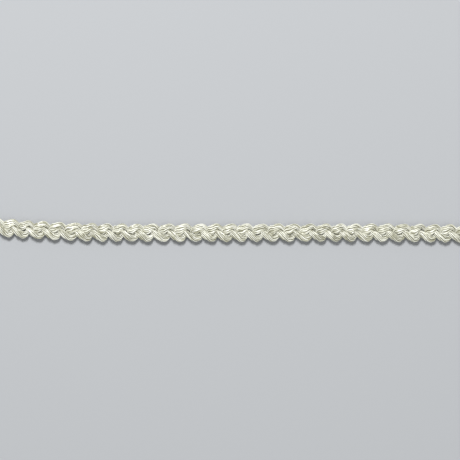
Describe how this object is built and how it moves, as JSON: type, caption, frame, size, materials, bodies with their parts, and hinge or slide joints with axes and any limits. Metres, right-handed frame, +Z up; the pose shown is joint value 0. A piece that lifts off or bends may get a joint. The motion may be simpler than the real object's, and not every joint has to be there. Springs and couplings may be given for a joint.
{
  "type": "plaited braid trim",
  "caption": "Cut length of narrow flat plaited braid trim in pale ivory yarn, with scalloped edges, lying nearly straight.",
  "frame": {"origin": "on the surface the trim lies on, under the middle of its cut length and width", "axes": "+X along the braid, +Y across it, +Z up out of its face"},
  "size_m": [0.1222, 0.0068, 0.0024],
  "materials": {
    "ivory_yarn": "soft shine"
  },
  "bodies": {
    "root": {"strand_a": "ivory_yarn", "strand_b": "ivory_yarn", "strand_c": "ivory_yarn"}
  },
  "joints": []
}
